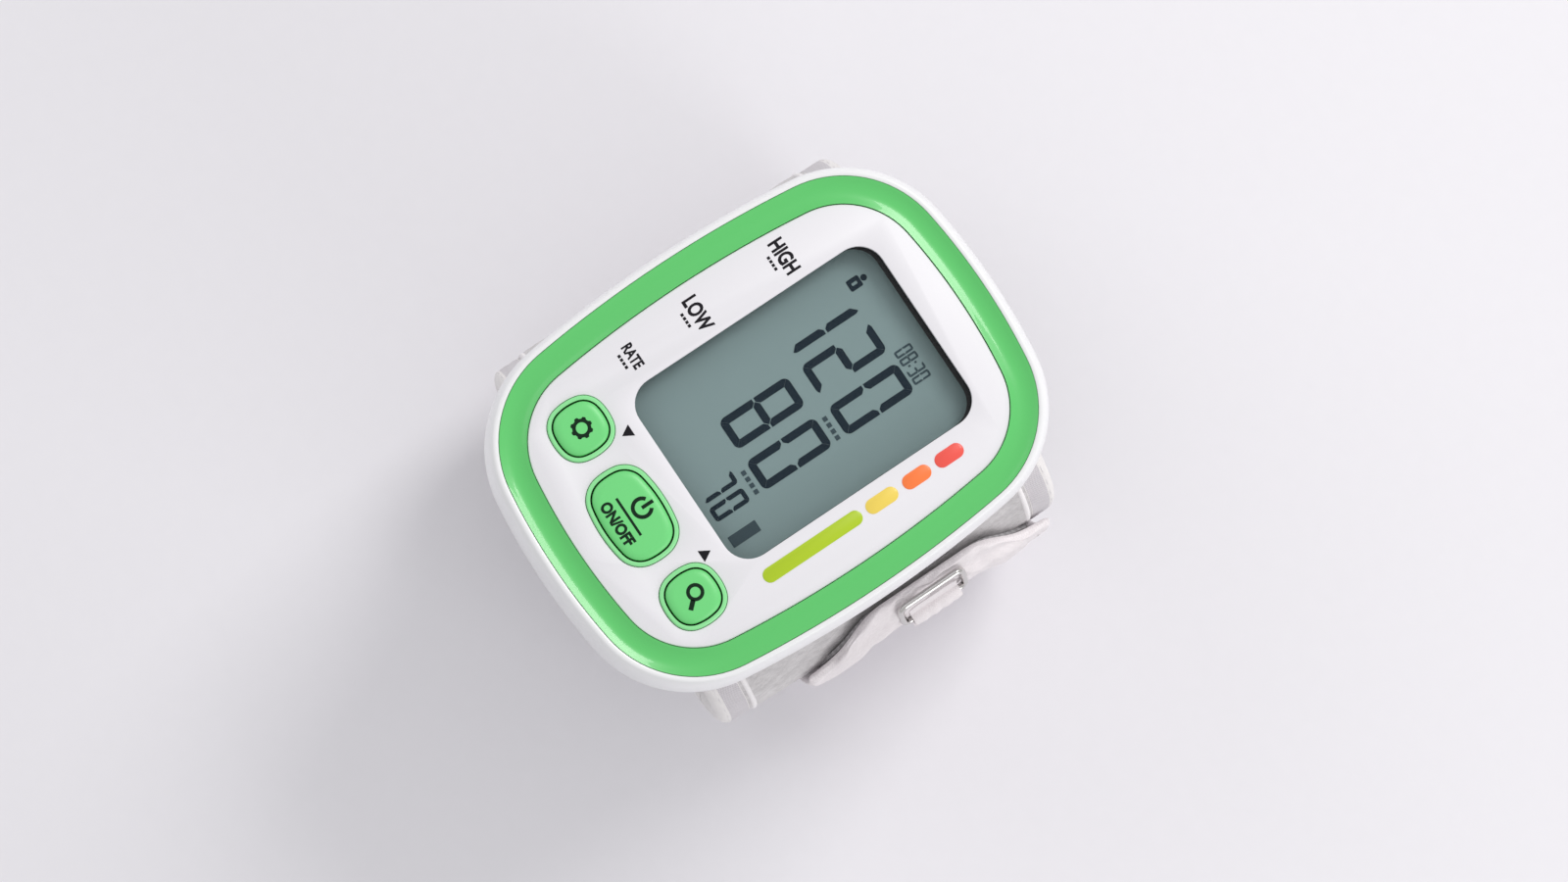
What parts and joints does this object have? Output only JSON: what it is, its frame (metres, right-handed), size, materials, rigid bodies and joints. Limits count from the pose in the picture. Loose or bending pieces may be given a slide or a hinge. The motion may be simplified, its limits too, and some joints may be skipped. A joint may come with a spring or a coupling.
{
  "type": "wrist blood pressure monitor",
  "caption": "Wrist blood pressure monitor: display unit with buttons and coloured ring on a soft cuff that closes around the wrist with a strap.",
  "frame": {"origin": "on the flat underside of the closed cuff, straight below the centre of the display face", "axes": "+X across the display from left to right, +Y along the arm from the buttons to the top of the display, +Z out of the display face"},
  "size_m": [0.0767, 0.0878, 0.0786],
  "materials": {
    "case_white": "satin moulded plastic",
    "panel_film": "satin film",
    "ring_green": "satin gloss",
    "key_green": "satin",
    "lens_clear": "clear polished",
    "lcd": "reflective grey-green display",
    "black_plastic": "matt",
    "dark_rubber": "matt",
    "board": "solder mask",
    "component_black": "matt moulded",
    "steel": "bright nickel plated",
    "brass": "turned",
    "copper_winding": "enamelled wire",
    "cell": "printed sleeve",
    "inner_grey": "matt moulded",
    "natural_plastic": "translucent moulded",
    "silicone": "translucent",
    "bladder": "matt film",
    "cuff_fabric": "brushed loop weave",
    "cuff_lining": "smooth knit",
    "cuff_binding": "woven tape",
    "hook_tape": "hook tape"
  },
  "bodies": {
    "monitor": {"front_cover": "case_white", "rear_cover": "case_white", "trim_ring": "ring_green", "face_panel": "panel_film", "button_frame": "key_green", "display_lens": "lens_clear", "lcd_frame": "black_plastic", "lcd_glass": "lcd", "lcd_connector_upper": "dark_rubber", "lcd_connector_lower": "dark_rubber", "main_board": "board", "switch_settings": "component_black", "switch_start": "component_black", "switch_memory": "component_black", "pressure_sensor": "component_black", "buzzer": "black_plastic", "battery_tray": "inner_grey", "battery_outer": "cell", "battery_inner": "cell", "contact_negative": "steel", "contact_positive": "steel", "contact_bridge": "steel", "pump_motor": "steel", "pump_head": "black_plastic", "valve_yoke": "steel", "valve_coil": "copper_winding", "air_tee": "natural_plastic", "hose_pump": "silicone", "hose_valve": "silicone", "hose_sensor": "silicone", "case_screw_1": "steel", "case_screw_2": "steel", "case_screw_3": "steel", "case_screw_4": "steel", "cuff_lining": "cuff_lining", "cuff_bladder": "bladder", "cuff_shell": "natural_plastic", "cuff_fabric": "cuff_fabric", "cuff_binding_hand": "cuff_binding", "cuff_binding_elbow": "cuff_binding"},
    "settings_key": {"button_settings": "key_green"},
    "start_key": {"button_start": "key_green"},
    "memory_key": {"button_memory": "key_green"},
    "door": {"battery_door": "case_white"},
    "crank": {"pump_cam": "brass"},
    "plunger": {"valve_plunger": "steel"},
    "wrap": {"wrap_lining": "cuff_lining", "wrap_bladder": "bladder", "wrap_fabric": "cuff_fabric", "wrap_binding_hand": "cuff_binding", "wrap_binding_elbow": "cuff_binding"},
    "tongue": {"tongue_fabric": "cuff_fabric", "hook_pad": "hook_tape", "ring_loop": "cuff_binding"},
    "ring": {"pull_ring": "steel"}
  },
  "joints": [
    {"name": "settings_press", "type": "slide", "parent": "monitor", "child": "settings_key", "axis": [0, 0, -1], "range_m": [0, 0.0006], "stiffness_N_per_m": 600, "springref_m": -0.0003},
    {"name": "start_press", "type": "slide", "parent": "monitor", "child": "start_key", "axis": [0, 0, -1], "range_m": [0, 0.0006], "stiffness_N_per_m": 600, "springref_m": -0.0003},
    {"name": "memory_press", "type": "slide", "parent": "monitor", "child": "memory_key", "axis": [0, 0, -1], "range_m": [0, 0.0006], "stiffness_N_per_m": 600, "springref_m": -0.0003},
    {"name": "door_remove", "type": "slide", "parent": "monitor", "child": "door", "axis": [-1, 0, 0], "range_m": [0, 0.015]},
    {"name": "crank_spin", "type": "hinge", "parent": "monitor", "child": "crank", "pos_m": [0.02136, -0.006, 0.0594], "axis": [0, 1, 0], "continuous": true},
    {"name": "plunger_travel", "type": "slide", "parent": "monitor", "child": "plunger", "axis": [0, -1, 0], "range_m": [0, 0.0005], "stiffness_N_per_m": 60, "springref_m": -0.0005},
    {"name": "wrap_open", "type": "hinge", "parent": "monitor", "child": "wrap", "pos_m": [-0.02303, 0, 0.00183], "axis": [0, 1, 0], "range_deg": [0, 60]},
    {"name": "tongue_peel", "type": "hinge", "parent": "wrap", "child": "tongue", "pos_m": [0.03346, 0, 0.00653], "axis": [0, 1, 0], "range_deg": [0, 60]},
    {"name": "ring_swing", "type": "hinge", "parent": "tongue", "child": "ring", "pos_m": [0.03899, 0.0105, 0.03707], "axis": [0, 1, 0], "range_deg": [0, 130]}
  ]
}
